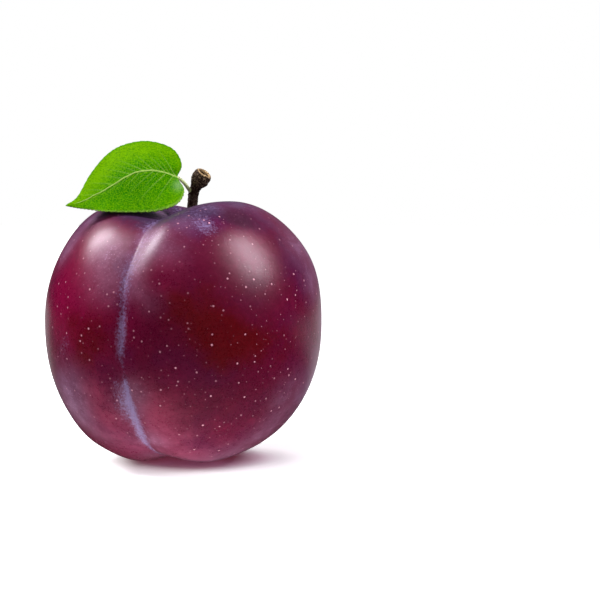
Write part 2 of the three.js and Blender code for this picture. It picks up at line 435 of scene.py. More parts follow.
# the groove's depth, and how far its line lies to the right (to the left below 0), in mm at
# angles in degrees from the stem (0) over the front to the tip (180)
GROOVE = [(-180, 1.26), (-150, 0.49), (-110, 0), (-60, 0), (-20, 1), (15, 2.35), (50, 1.65),
          (90, 0.9), (130, 1.15), (165, 1.4), (180, 1.26)]
DRIFT = [(-180, 1.7), (-130, 0), (25, 0), (44, -0.3), (55, -0.3), (62, -0.55), (69, -0.95),
         (76, -0.75), (83, -0.15), (108, 0), (122, 0.6), (134, 1.5), (150, 1.7), (180, 1.7)]
# how far the groove's sides reach, in mm
BANK_LEFT, BANK_BASE = 7.5, 6.1
BANK_RIGHT = [(-180, 4.6), (-90, 4.6), (0, 4.3), (30, 3.9), (45, 3.4), (60, 3.5), (85, 4.3),
              (180, 4.6)]
# the sharp fold along the groove, how round its bottom is, how far round it takes to fade out
# behind, and the groove's depth at which it is full, in mm
CREASE_DEEP, CREASE_WIDE, CREASE_ROUND, CREASE_FADE, CREASE_FULL = 0.35, 0.9, 0.3, 8, 0.9
LOBE_LEFT, LOBE_RIGHT, LOBE_AT, LOBE_WIDE, LOBE_LONG = 1.1, 0.6, 7.0, 4.5, 12.0
UNEVEN_HIGH, UNEVEN_WAVE = 0.13, 0.75  # random relief in mm, and its wavelength in radii
PRESS_SOFT = 0.004  # how soft the edge of the pressed flats is, in square mm
# gentle swellings and flats of the body: azimuth, elevation and size in degrees, height in mm
SWELLS = [(82, 25, 15, 0.65), (-78, 50, 12, 0.35), (-90, -4, 24, -0.25), (-82, -52, 12, 0.5),
          (62, 52, 14, -0.15)]


def bells(d, spots):
    """The sum of bells on the directions d, each (azimuth, elevation, size, height), in degrees.

    Azimuth runs to the right from the front and elevation up from the waist.
    """
    total = 0.0
    for azimuth, elevation, size, high in spots:
        a, e = math.radians(azimuth), math.radians(elevation)
        aim = np.array([math.sin(a) * math.cos(e), -math.cos(a) * math.cos(e), math.sin(e)])
        away = np.degrees(np.arccos(np.clip(d @ aim, -1, 1)))
        total = total + high * hump(away, size)
    return total


def skin(theta, phi, s):
    """The skin's points, in mm, at theta from the stem's axis and phi round from the groove.

    The body is an upright superellipse. From it are taken the groove with its fold, the
    hollow round the stem and the saddle between the cheeks, and two bells beside the groove
    swell the base. Also gives the distance u to the right of the groove's line, in mm, the
    angle psi along it, in degrees, and the direction d.
    """
    # the ways of the groove (g), of its right-hand side (t) and of the stem (k)
    turn = Matrix.Rotation(s.lean, 3, "Y")
    g = np.array(turn @ Vector((-math.sin(s.facing), -math.cos(s.facing), 0)))
    t = np.array(turn @ Vector((math.cos(s.facing), -math.sin(s.facing), 0)))
    k = np.array(turn @ Vector((0, 0, 1)))
    lg, lt, lk = np.sin(theta) * np.cos(phi), np.sin(theta) * np.sin(phi), np.cos(theta)
    d = lg[..., None] * g + lt[..., None] * t + lk[..., None] * k
    up = d[..., 2]
    out = np.sqrt(np.clip(1 - up**2, 0, 1))
    ends = np.where(up > 0, ROUND_CROWN, ROUND_BASE)
    n = ROUND_WAIST + (ends - ROUND_WAIST) * np.abs(up) ** ROUND_RISE
    height = np.where(up > 0, s.crown, s.base) / MM
    rho = ((out / (s.half_width / MM)) ** n + np.abs(up / height) ** n) ** (-1 / n)
    psi = np.degrees(np.arctan2(lg, lk))
    u = rho * lt - read(DRIFT, psi)
    depth = s.groove * read(GROOVE, psi)
    bank = np.where(u > 0, read(BANK_RIGHT, psi), BANK_LEFT)
    bank = bank + (BANK_BASE - bank) * ease(0.2, 0.9, -lk)
    front = ease(-1, 1, rho * lg / CREASE_FADE) * np.minimum(depth / CREASE_FULL, 1)
    fold = CREASE_DEEP * front * np.exp(-(np.hypot(u, CREASE_ROUND) - CREASE_ROUND) / CREASE_WIDE)
    under = hump(rho * lg, LOBE_LONG) * (lk < 0)
    left, right = (hump(u + side * LOBE_AT, LOBE_WIDE) for side in (1, -1))
    lobes = under * (LOBE_LEFT * left + LOBE_RIGHT * right)
    r = rho * np.sin(theta)
    sink = s.cavity / MM * hump(r, CAVITY_RADIUS)
    saddle_wide = np.where(u > 0, SADDLE_RIGHT, SADDLE_LEFT)
    sink = (sink + s.saddle / MM * hump(u, saddle_wide) * hump(r, SADDLE_LONG)) * (lk > 0)
    calm_ends = ease(0.15, 0.6, theta) * ease(3.1, 2.4, theta)
    uneven = UNEVEN_HIGH * ripple(d, UNEVEN_WAVE, 11) * calm_ends
    reach = rho - depth * hump(u, bank) - fold + lobes + uneven + bells(d, SWELLS)
    p = d * reach[..., None] - k * sink[..., None]
    p[..., 0] -= BASE_SHIFT * np.clip(-up, 0, 1) ** 2
    p[..., 2] += s.waist_up / MM
    # where it stands, the skin is pressed flat with a soft edge
    p[..., 2] = 0.5 * (p[..., 2] + np.sqrt(p[..., 2] ** 2 + PRESS_SOFT))
    return p, u, psi, d


# the wax down the groove, at angles in degrees along it: where its middle lies to the right of
# the fold and how wide it is, in mm, and how thick
WAX_MIDDLE = [(20, 0.6), (40, 0.2), (60, 0.3), (74, 0.2), (98, -0.1), (102, -0.3), (110, 0.5),
              (126, 0.45), (142, 0.0)]
WAX_WIDTH = [(30, 1.7), (45, 1.9), (60, 1.7), (70, 1.9), (77, 1.5), (83, 1.2), (92, 1.3),
             (106, 0.8), (113, 0.9), (124, 1.3), (140, 1.25), (152, 0.7), (160, 0.5)]
WAX_STRENGTH = [(14, 0), (30, 0.3), (41, 0.55), (50, 0.26), (58, 0.3), (67, 0.6), (74, 0.6),
                (80, 0.4), (88, 0.7), (93, 0.75), (99, 0.65), (105, 0.3), (109, 0.2), (114, 0.8),
                (122, 0.95), (138, 0.85), (148, 0.6), (170, 0.5), (176, 0)]
# a wider, weaker smear on its left, low down
SMEAR_STRENGTH, SMEAR_LEFT, SMEAR_WIDTH = 0.42, 1.3, 1.9
SMEAR_STARTS, SMEAR_ENDS = (107, 117), (138, 122)
# soft spots: azimuth, elevation and size in degrees, and strength
WAX_SPOTS = [(12, 44, 5, 0.58), (10, 49, 4, 0.16), (5, 54, 5, 0.24), (20, 58, 6, 0.34),
             (-170, 76, 7, 0.4), (-25, 50, 5, 0.3), (-54, -5, 4, 0.22), (-58, -9, 4, 0.2),
             (150, 40, 8, 0.4), (200, 0, 6, 0.3)]
SPOTS = {
    "blood": [
        (-4, 11, 8, 0.5), (-52, 4, 9, 0.4), (-44, -10, 8, 0.5), (-35, -1, 9, 0.5),
        (7, 5, 9, 0.75), (17, 0, 10, 0.75), (27, -6, 9, 0.75), (8, 17, 7, 0.35),
        (42, -5, 9, 0.45), (-42, 2, 7, 0.35), (62, 22, 9, 0.3), (12, -10, 9, 0.5),
        (150, 5, 24, 0.7), (230, -10, 26, 0.6), (182, -25, 18, 0.5)],
    "crimson": [
        (-50, 12, 20, 1), (-38, -6, 14, 0.4), (-8, 15, 9, 0.3), (-2, -20, 10, 0.25),
        (-47, 38, 14, 0.5), (8, -28, 13, 0.22), (-8, 26, 10, 0.3), (32, 33, 13, 0.9),
        (45, 5, 12, 0.3), (-42, -38, 12, 0.5), (28, -40, 14, 0.35), (185, 20, 30, 0.8),
        (100, -12, 26, 0.5), (260, 10, 24, 0.7)],
    # partly painted bounce light: the light red spots low down stand for light thrown up by the
    # floor
    "rose": [
        (-11, -31, 9, 0.65), (-34, -38, 9, 0.4), (-6, -44, 11, 0.5), (-14, -20, 6, 0.25),
        (-41, -25, 9, 0.6), (-20, 24, 7, 0.25), (-8, -60, 10, 0.4), (20, -62, 10, 0.4),
        (-36, -58, 9, 0.4), (120, -42, 22, 0.5), (215, -40, 24, 0.5), (180, 45, 18, 0.4)],
    "dusk": [
        (0, 84, 34, 1), (-28, 28, 6, 0.5), (-27, 12, 5, 0.4), (45, 55, 16, 0.4), (8, 48, 12, 0.6),
        (0, -90, 34, 0.2), (-24, -10, 7, 0.4), (-25, -34, 8, 0.4), (60, 22, 14, 0.7),
        (-75, 48, 12, 0.6), (75, -25, 20, 0.5), (200, -5, 22, 0.5), (120, 25, 26, 0.5)],
    # slate violet and painted shade: darkest in the stem's hollow and on the shoulder under the
    # leaf
    "gloom": [
        (0, 90, 24, 1), (-60, 72, 18, 0.9), (-30, 62, 14, 0.6), (60, 66, 12, 0.4),
        (-14, 50, 7, 0.3), (5, 58, 9, 1.0), (18, 52, 7, 0.3)],
    "black": [
        (41, 52, 11, 0.75), (31, 50, 7, 0.5), (58, 36, 8, 0.3), (-24, -8, 6, 0.3),
        (12, 3, 7, 0.25), (-31, 28, 7, 0.3), (190, 40, 14, 0.4), (140, -5, 12, 0.3)],
    "satin": [
        (-39, 36, 15, 1), (-20, 44, 10, 1), (-18, 30, 7, 0.7), (31, 30, 15, 1), (30, 8, 12, 0.5),
        (-70, -30, 12, 0.4), (170, 40, 24, 1), (240, 30, 16, 0.6), (110, 35, 18, 0.8),
        (0, 80, 16, 0.8)],
    # dust, and painted sheen: the spots on the rims and round the highlights stand for mirrored
    # light
    "haze": [
        (-60, 76, 10, 0.28), (-28, 65, 5, 0.25), (-39, 33, 7, 0.27), (-22, 32, 5, 0.14),
        (-15, 36, 8, 0.1), (-19, 41, 5, 0.4), (-23, 26, 5, 0.22), (-13, 12, 5, 0.08),
        (-20, 17, 5, 0.1), (-32, 16, 6, 0.04), (-36, 21, 9, 0.12), (-72, 33, 7, 0.26),
        (-67, 47, 7, 0.2), (-56, -24, 10, 0.24), (-62, -34, 9, 0.26), (-50, -45, 10, 0.08),
        (-70, -28, 9, 0.14), (-21, -25, 6, 0.16), (-8, -46, 12, 0.05), (-20, -50, 6, 0.16),
        (52, -46, 8, 0.14), (67, 17, 7, 0.14), (-20, -68, 16, 0.1), (40, -62, 12, 0.14),
        (28, 60, 11, 0.06), (1, 47, 6, 0.1), (62, 58, 14, 0.1), (64, 32, 7, 0.08),
        (32, 30, 9, 0.06), (73, 34, 10, 0.22), (-6, 34, 9, 0.07), (-26, -33, 7, 0.1),
        (84, 18, 12, 0.22), (84, -3, 12, 0.24), (80, -28, 16, 0.26), (52, -28, 9, 0.12),
        (150, 40, 26, 0.2), (215, 20, 22, 0.18), (180, -30, 20, 0.18)],
    "pores": [
        (25, -15, 36, 1), (10, 50, 11, 1), (45, 15, 20, 0.5), (-52, 5, 22, 0.6),
        (190, 0, 60, 0.9), (110, -10, 30, 0.7)],
}
PORES_LEAST = 0.25  # how clear the pores are away from their spots
# colours laid over the skin in turn: where its mask begins to show and where it is full, and
# how ragged its edge is. The light red low down is partly painted bounce light from the floor,
# and the dark slate violet is partly painted shade in the stem's hollow and under the leaf
PAINT = [("crimson", 0.1, 0.9, 0.3), ("rose", 0.1, 1.0, 0.3), ("dusk", 0.15, 1.0, 0.3),
         ("blood", 0.14, 0.95, 0.4), ("black", 0.16, 1.0, 0.3), ("gloom", 0.15, 0.9, 0.3)]
# clouds in the skin: size in mm, contrast and roughness
PATCHES, CLOUD, FINE, GRAIN = (14.0, 3.2, 0.6), (4.5, 3.0, 0.65), (1.2, 2.6, 0.8), (0.45, 2.2, 0.8)
# pores: spacing in mm, radius in cells, and the share that shows
CLEAR_PORES, FAINT_PORES = (1.7, 0.165, 0.72), (1.0, 0.16, 0.7)


def wax_mask(u, psi, d):
    """Where wax lies thick: a band down the groove and speckled patches round the hollow.

    The band is a bell across u that changes with psi, and the smear is a second bell on its
    left that fills what the band leaves.
    """
    band = read(WAX_STRENGTH, psi) * hump(u - read(WAX_MIDDLE, psi), read(WAX_WIDTH, psi))
    side = SMEAR_STRENGTH * ease(*SMEAR_STARTS, psi) * ease(*SMEAR_ENDS, psi)
    side = side * hump(u + SMEAR_LEFT, SMEAR_WIDTH)
    return np.clip(np.maximum(band + side * (1 - band), spots_mask(d, WAX_SPOTS)), 0, 1)


def spots_mask(d, spots):
    """Soft spots on the skin: their bells, summed and kept from 0 to 1."""
    return np.clip(bells(d, spots), 0, 1)


def fruit_material(s):
    """Dark satin skin: mottled colour, a dusty veil, wax, pale pores and slight waves.

    The colour holds painted bounce light low down and painted shade round the stem, and the veil
    is partly painted sheen on the rims and round the highlights.
    """
    material, w, shader = new_material("plum skin", {"IOR": 1.45})
    at = w.add("TexCoord").outputs["Object"]
    patches, cloud, fine, grain = (clouds(w, at, *kind) for kind in (PATCHES, CLOUD, FINE, GRAIN))
    skin_colour = w.mix(w.span(patches, 0.3, 1.0, 0.0, 0.3), s.wine, s.dusk)
    for name, begins, full, ragged in PAINT:
        edge = w.times(w.math("SUBTRACT", cloud, 0.5), ragged)
        strength = w.span(w.plus(w.mask(name), edge), begins, full)
        skin_colour = w.mix(strength, skin_colour, getattr(s, name))
    shade = w.plus(w.times(fine, 0.5), w.times(grain, 0.5))
    tone = w.span(shade, 0.35, 0.85, 0.94, 1.2)
    tone = w.add("CombineColor", {0: tone, 1: tone, 2: tone}).outputs[0]
    skin_colour = w.mix(1.0, skin_colour, tone, "MULTIPLY")
    # a thin dusty veil with flecks in it, partly painted sheen on the rims and round the
    # highlights, and the thick wax broken into specks at its edges
    drift = w.plus(cloud, w.times(fine, 0.35))
    veil = w.times(w.mask("haze"), w.span(drift, 0.2, 1.15, 0.66, 1.24))
    flecks = w.times(w.mask("haze"), w.span(grain, 0.58, 0.95, 0.0, 1.5))
    skin_colour = w.mix(w.plus(veil, flecks, clamp=True), skin_colour, s.dust_sheen_colour)
    specks = w.times(w.math("SUBTRACT", grain, 0.5), 0.95)
    wax = w.span(w.plus(w.mask("wax"), specks), 0.18, 1.0, 0.0, 0.8 * s.bloom)
    wax = w.times(wax, w.span(w.mask("wax"), 0.02, 0.2))
    skin_colour = w.mix(wax, skin_colour, s.wax)
    # pores: clear ones with a darker ring, and smaller faint ones
    clear = dots(w, at, *CLEAR_PORES)
    halo = w.times(clear["Ring"], 0.2, w.mask("pores"))
    clear = w.times(clear["Mask"], w.span(w.mask("pores"), 0.2, 0.9, 0.4, 1.0))
    faint = w.times(dots(w, at, *FAINT_PORES)["Mask"], 0.55, w.mask("pores"))
    skin_colour = w.mix(halo, skin_colour, s.black)
    pores = w.plus(clear, faint, clamp=True)
    w.put(shader.inputs["Base Color"], w.mix(pores, skin_colour, s.dot))
    rough = w.plus(w.span(shade, 0.2, 0.8, 0.26, 0.31), w.times(wax, 0.3),
                   w.times(w.mask("satin"), 0.09), w.times(veil, 0.15))
    w.put(shader.inputs["Roughness"], rough)
    height = w.plus(w.times(cloud, 0.15), w.times(pores, 0.06))
    add_bump(w, shader, height, 0.5, 0.12 * MM)
    return material


class BuildFruit(Operator):
    """Build the fruit: skin, groove, hollow and base, with its wax and its colours

    The grid is finer near the stem, the tip and the groove, and a fan closes each pole.
    """

    bl_idname = "plum.fruit"
    bl_label = "Fruit"

    def execute(self, context):
        s = context.scene.plum_fruit
        rows, columns, pole = 236, 408, 1e-4
        a = 2 * np.pi * np.arange(columns) / columns
        b = np.pi * np.arange(1, rows) / rows
        theta, phi = np.meshgrid(b - 0.25 * np.sin(2 * b), a - 0.6 * np.sin(a), indexing="ij")
        p, u, psi, d = skin(theta, phi, s)
        poles = skin(np.array([pole, np.pi - pole]), np.zeros(2), s)
        p, d = (np.vstack([x.reshape(-1, 3), y]) for x, y in ((p, poles[0]), (d, poles[3])))
        u, psi = (np.concatenate([x.ravel(), y]) for x, y in ((u, poles[1]), (psi, poles[2])))
        end = (rows - 1) * columns
        faces = quads(rows - 1, columns, True)[:, ::-1].tolist()
        faces += fan(end, 0, columns) + fan(end + 1, end - columns, columns, True)
        masks = {name: spots_mask(d, spots) for name, spots in SPOTS.items()}
        masks["pores"] = PORES_LEAST + (1 - PORES_LEAST) * masks["pores"]
        masks["wax"] = wax_mask(u, psi, d)
        make_piece("plum_fruit", p, faces, masks, fruit_material(s), "fruit")
        return {"FINISHED"}


# ---- stem ----

STEM_PATH = [(1.6, 0, 46.7), (1.75, 0, 50.5), (2, 0, 54.5), (2.28, -0.1, 56.2),
             (2.64, -0.3, 57.25), (3.4, -0.8, 58.6), (4.4, -1.5, 60.1)]
# radius in mm along the stem, from its foot (0) to the cut end (1)
STEM_RADIUS = [(0, 1.25), (0.08, 1.05), (0.3, 1.03), (0.55, 1.06), (0.64, 1.12), (0.71, 1.32),
               (0.79, 1.76), (0.87, 1.93), (0.94, 1.86), (0.985, 1.68), (1.0, 1.56)]
# relief in mm: lumps, more on the knob, grit, lengthwise ridges and the scar under the knob
LUMPS, KNOB_LUMPS, GRIT, RIDGES, SCAR = 0.05, 0.06, 0.035, 0.05, 0.09
# the cut end: share of the last radius, and how far past the end, in mm
CUT_END = [(0.93, 0.10), (0.84, 0.13), (0.74, 0.07), (0.66, 0.0), (0.60, -0.14), (0.54, -0.42),
           (0.44, -0.66), (0.28, -0.74), (0.12, -0.70)]
# how far each ring is wood, from the last 3 of the bark on, and how far each of the last is pith
WOOD_RINGS = [0.1, 0.3, 0.6, 1, 1, 1, 1, 1, 0.85, 0.6, 0.4, 0.3]
PITH_RINGS = [0.1, 0.45, 0.9, 1, 1, 1]


def stem_surface(s, rings=210, sides=120):
    """The stem as rings carried along its path, then folded in over the cut end.

    Past the end it closes over a rounded lip and a flat of wood, then drops into the hollow
    pith. Gives points, faces and masks.
    """
    t = np.linspace(0, 1, rings)
    path = curve(STEM_PATH, t)
    turn = 2 * np.pi * np.arange(sides) / sides
    radius = read(STEM_RADIUS, t)[:, None] * np.ones((1, sides))
    grid = np.stack([np.broadcast_to(np.cos(turn) * 1.4, radius.shape),
                     np.broadcast_to(np.sin(turn) * 1.4, radius.shape),
                     np.broadcast_to(t[:, None] * 15, radius.shape)], -1)
    knob = ease(0.62, 0.8, t)[:, None]
    radius = radius + (LUMPS + KNOB_LUMPS * knob) * ripple(grid, 0.9, 5, 14)
    radius = radius + GRIT * ripple(grid, 0.35, 6, 14)
    radius += RIDGES * np.sin(7 * turn + 2 * ripple(grid, 3.0, 8)) * (1 - 0.4 * knob)
    radius -= SCAR * hump(t - 0.69, 0.012)[:, None] * (1 + 0.5 * np.sin(3 * turn))
    radius *= s.thickness
    ahead = unit(path[-1] - path[-2])
    cut_end = np.array([
        k * radius[-1] * (1 + 0.04 * i * np.sin(2 * turn + 0.4 * i) + 0.03 * np.sin(5 * turn + i))
        for i, (k, _) in enumerate(CUT_END)
    ])
    path = np.vstack([path, [path[-1] + ahead * rise for _, rise in CUT_END]])
    radius = np.vstack([radius, cut_end])
    # rings past the end keep the last ring's heading: they are built ahead of it, then moved
    order = np.arange(len(path))[:, None]
    straight = np.where(order < rings, path, path[rings - 1] + ahead * (order - rings + 1) * 0.05)
    verts, faces = tube(straight, radius, turn)
    verts[: len(path) * sides] += np.repeat(path - straight, sides, axis=0)
    verts[-1] += path[-1] - straight[-1]
    rows = {
        "cut": np.concatenate([np.zeros(rings - 3), WOOD_RINGS]),
        "pith": np.concatenate([np.zeros(rings + 3), PITH_RINGS]),
        "along": np.concatenate([t, np.ones(len(CUT_END))]),
    }
    masks = {key: np.concatenate([np.repeat(m, sides), [0.0, m[-1]]]) for key, m in rows.items()}
    return verts, faces, masks


def stem_material(s):
    """Rough bark, paler and crusted at the knob, with cream wood and dark pith at the cut."""
    material, w, shader = new_material("stem bark", {"IOR": 1.4})
    at = w.add("TexCoord").outputs["Object"]
    lumps, crust = clouds(w, at, 1.1, 3.2, 0.7), clouds(w, at, 0.38, 3.4, 0.8)
    scars = dots(w, at, 0.75, 0.26, 0.5)["Mask"]
    knob = w.span(w.plus(w.mask("along"), w.times(lumps, 0.10)), 0.66, 0.84)
    pale = w.times(w.span(crust, 0.35, 0.85), w.span(knob, 0.0, 1.0, 0.22, 0.95))
    bark = w.mix(pale, s.bark, s.crust)
    bark = w.mix(w.times(scars, 0.45), bark, s.crust)
    values = {"Vector": at, "Scale": 620.0, "Distortion": 5.0, "Detail": 2.0}
    ring = w.add("TexWave", values, wave_type="RINGS").outputs["Fac"]
    wood = w.mix(w.times(ring, 0.6), s.wood, s.ring)
    wood = w.mix(w.span(w.plus(crust, lumps), 1.0, 1.5, 0.0, 0.9), wood, s.crack)
    pith = w.times(w.mask("pith"), w.span(crust, 0.2, 0.8, 1.0, 0.75))
    wood = w.mix(pith, wood, s.pith)
    w.put(shader.inputs["Base Color"], w.mix(w.mask("cut"), bark, wood))
    w.put(shader.inputs["Roughness"], w.span(crust, 0.1, 0.9, 0.95, 0.72))
    height = w.plus(w.times(lumps, 0.8), w.times(crust, 0.7))
    add_bump(w, shader, height, 0.8, 0.22 * MM)
    return material


class BuildStem(Operator):
    """Build the woody stem with its knob and its hollow cut end"""

    bl_idname = "plum.stem"
    bl_label = "Stem"

    def execute(self, context):
        s = context.scene.plum_stem
        verts, faces, masks = stem_surface(s)
        make_piece("plum_stem", verts, faces, masks, stem_material(s), "stem")
        return {"FINISHED"}


# ---- leaf ----

# outlines as (x, z) in mm seen from the front, from base to tip
MIDRIB = [(-1.3, 59.1), (-4.3, 60.1), (-7.1, 60.4), (-9.9, 59.9), (-12.9, 58.3), (-15.9, 56.4),
          (-18.4, 55.1), (-20.9, 53.9), (-23.8, 53.3)]
UPPER_EDGE = [(-1.3, 59.1), (-0.15, 61.6), (-1.85, 65), (-7.3, 66.9), (-12.7, 66), (-15.9, 64),
              (-19.1, 59.9), (-21.8, 54.9), (-23.8, 53.3)]
LOWER_EDGE = [(-1.3, 59.1), (0.25, 56.4), (-0.8, 53.9), (-4.4, 52.3), (-9.4, 51.9), (-15, 52),
              (-17.9, 52.3), (-21, 52.7), (-23.8, 53.3)]
# y of the midrib at the base and how it changes to the tip, in mm, and the slope of each half
TILT_RIB, TILT_TIP, TILT_UP, TILT_DOWN = -5.4, -4.5, 1.05, 0.95
WAVE_HIGH, WAVE_COUNT = 0.35, 2.5  # the margin's slow wave
# teeth a side, how far in they start, in mm, and the share of each that rises
TEETH, TOOTH_ROOT, TOOTH_RISE = 31, 0.17, 0.78
PUCKER_HIGH, PUCKER_WAVE, VEIN_DIP = 0.05, 1.6, 0.03  # relief of the blade in mm
# how far the midrib stands out above, below at the tip, and more so below at the base, in mm
RIB_ABOVE, RIB_BELOW, RIB_BASE = 0.10, 0.12, 0.38
RIB_LONG = 27.0  # mm
PETIOLE = [(-3.6, -5.1, 60.03), (-2.35, -5.15, 59.6), (-1.5, -5.2, 59.28), (-0.8, -4.9, 58.87),
           (-0.1, -4.0, 58.3), (0.5, -2.9, 57.65), (1.0, -1.7, 56.98), (1.5, -0.45, 56.4)]
PETIOLE_RADIUS = [(0, 0.15), (0.2, 0.28), (0.6, 0.32), (0.9, 0.36), (1, 0.45)]
# painted sheen: the pale spot stands for light mirrored on the blade beside the stalk
SHEEN_SPOT_AT, SHEEN_SPOT_WIDE = (-1.0, 57.3), 1.0  # the pale spot on the blade beside the stalk
# side veins: place on the midrib from 0 to 1, heading in degrees above the way to the tip,
# length in mm and strength
VEINS = [(0.01, 62, 6.5, 1.0), (0.05, 55, 5.5, 0.5), (0.09, 50, 6.0, 0.9), (0.14, 47, 5.0, 0.5),
         (0.2, 45, 5.5, 0.9), (0.24, 36, 4.6, 0.5), (0.29, 27, 6.5, 1.0), (0.35, 22, 5.5, 0.6),
         (0.4, 15, 6.0, 0.8), (0.47, 11, 5.5, 0.6), (0.55, 7, 5.5, 0.7), (0.63, 4, 4.5, 0.6),
         (0.72, 1, 4.0, 0.5), (0.03, -52, 7.0, 0.9), (0.09, -41, 8.5, 1.0), (0.15, -43, 6.0, 0.5),
         (0.2, -39, 7.0, 0.8), (0.26, -42, 5.0, 0.4), (0.32, -43, 5.0, 0.7), (0.4, -42, 4.0, 0.5),
         (0.48, -41, 4.5, 0.6), (0.57, -39, 3.5, 0.4), (0.66, -37, 3.0, 0.5),
         (0.75, -33, 2.5, 0.4)]


def blade(s, v, tooth):
    """The blade's middle surface: s from base to tip, v from the lower edge (-1) to the upper.

    Each point stands on the straight line from the midrib to the edge, and lies back by the
    slope of its half. Also gives its place along the midrib and its distance from it, in mm.
    """
    rib = curve(MIDRIB, s)
    edge = np.where((v < 0)[..., None], curve(LOWER_EDGE, s), curve(UPPER_EDGE, s))
    reach = edge - rib
    size = np.maximum(np.linalg.norm(reach, axis=-1), 1e-6)
    cut = (tooth * np.abs(v) ** 6 - TOOTH_ROOT) * np.minimum(1, size / 2)
    flat = rib + reach * (np.abs(v) * (1 + cut / size))[..., None]
    rise = flat[..., 1] - rib[..., 1]
    y = TILT_RIB + TILT_TIP * s**2 + np.where(rise > 0, TILT_UP, TILT_DOWN) * rise
    y = y + WAVE_HIGH * v**2 * np.sin(2 * np.pi * WAVE_COUNT * s) * np.sin(np.pi * s)
    # how far the point lies from its place on the midrib: on towards the tip, and sideways
    tangent, off = unit(np.gradient(rib, axis=0)), flat - rib
    ahead = (off * tangent).sum(-1)
    aside = np.abs(off[..., 0] * tangent[..., 1] - off[..., 1] * tangent[..., 0])
    return np.stack([flat[..., 0], y, flat[..., 1]], -1), RIB_LONG * s + ahead, aside


def vein_masks(s, middle, aside):
    """The side veins and the midrib as ridges that are 1 along their middles.

    A side vein runs out from its place on the midrib, bends a little, and grows thinner and
    fainter.
    """
    flat = middle[..., [0, 2]]
    veins = 0.0
    for start, heading, long, strong in VEINS:
        a = math.radians(heading)
        ahead = np.array([-math.cos(a), math.sin(a)])
        from_start = flat - curve(MIDRIB, start)
        on = from_start @ ahead
        off = from_start[..., 0] * ahead[1] - from_start[..., 1] * ahead[0] + 0.012 * on**2
        near, far = ease(0.5 * long, 0, on), ease(1.15 * long, 0.4 * long, on)
        shown = ease(-0.1, 0.1, on) * (0.4 * near + 0.6 * far)
        veins = np.maximum(veins, strong * shown * hump(off, 0.06 + 0.03 * ease(long, 0, on)))
    rib = hump(aside, 0.08 + 0.2 * (1 - s) ** 1.5) * ease(1.0, 0.84, s)
    return veins * ease(1.0, 0.85, s), rib


def leaf_surface(s):
    """The blade's two faces with their rim, and the petiole that runs under it as one mesh.

    The faces lie closer at the edge. Both pucker a little and dip at the side veins, and the
    midrib stands out as a rounded cord.
    """
    columns, rows = 371, 113
    along = np.linspace(0.003, 0.997, columns)
    across = np.linspace(-1, 1, rows)
    across = np.sign(across) * np.abs(across) ** 1.15
    si, vi = np.meshgrid(along, across, indexing="ij")
    saw = (si * TEETH + 0.3 * np.sin(7 * si)) % 1.0
    saw = np.where(saw < TOOTH_RISE, saw / TOOTH_RISE, (1 - saw) / (1 - TOOTH_RISE))
    tooth = s.tooth / MM * saw**0.8
    tooth *= np.where(vi > 0, 0.55, 1.0) * (1 + 0.25 * np.sin(23 * si + 2 * np.sign(vi)))
    middle, along_rib, aside = blade(si, vi, tooth)
    veins, rib = vein_masks(si, middle, aside)
    normal = unit(np.cross(np.gradient(middle, axis=1), np.gradient(middle, axis=0)))
    normal *= np.where(normal[..., 1:2] > 0, -1, 1)
    edge = ease(1.0, 0.9, np.abs(vi)) * ease(0, 0.03, si) * ease(1, 0.97, si)
    shift = edge * (PUCKER_HIGH * ripple(middle, PUCKER_WAVE, 3, 12) - VEIN_DIP * veins)
    half = 0.5 * s.thickness / MM * (0.45 + 0.55 * edge)
    ridge = rib * ease(1.0, 0.8, si)
    top = middle + normal * (shift + half + RIB_ABOVE * ridge)[..., None]
    low = middle + normal * (shift - half - (RIB_BASE * (1 - si) + RIB_BELOW) * ridge)[..., None]
    verts = np.vstack([top.reshape(-1, 3), low.reshape(-1, 3)])
    n = columns * rows
    front = quads(columns, rows)
    rim = np.concatenate([
        np.arange(columns) * rows,
        (columns - 1) * rows + np.arange(1, rows),
        np.arange(columns - 2, -1, -1) * rows + rows - 1,
        np.arange(rows - 2, 0, -1),
    ])
    after = np.roll(rim, -1)
    wall = np.stack([rim, after, after + n, rim + n], -1)
    faces = front[:, ::-1].tolist() + (front + n).tolist() + wall[:, ::-1].tolist()
    uv = np.stack([along_rib.ravel(), np.sign(vi.ravel()) * aside.ravel()], -1)
    # painted sheen: the pale mask lays a pale spot beside the stalk where light is mirrored
    from_sheen_spot = np.hypot(middle[..., 0] - SHEEN_SPOT_AT[0], middle[..., 2] - SHEEN_SPOT_AT[1])
    masks = {"vein": veins, "rib": rib, "height": vi, "along": si,
             "pale": hump(from_sheen_spot, SHEEN_SPOT_WIDE), "stalk": 0 * si}
    masks = {key: np.tile(m.ravel(), 2) for key, m in masks.items()}
    masks["under"] = np.repeat([0.0, 1.0], n)
    # the petiole: all rib and stalk, and nothing of the other masks
    t = np.linspace(0, 1, 70)
    turn = 2 * np.pi * np.arange(28) / 28
    radius = read(PETIOLE_RADIUS, t)[:, None] * (1 + 0.05 * np.cos(2 * turn))
    more, more_faces = tube(curve(PETIOLE, t), radius, turn, first=2 * n)
    masks = {key: np.concatenate([m, np.full(len(more), float(key in ("rib", "stalk")))])
             for key, m in masks.items()}
    uv = np.vstack([uv, uv, np.zeros((len(more), 2))])
    return np.vstack([verts, more]), faces + more_faces, masks, uv


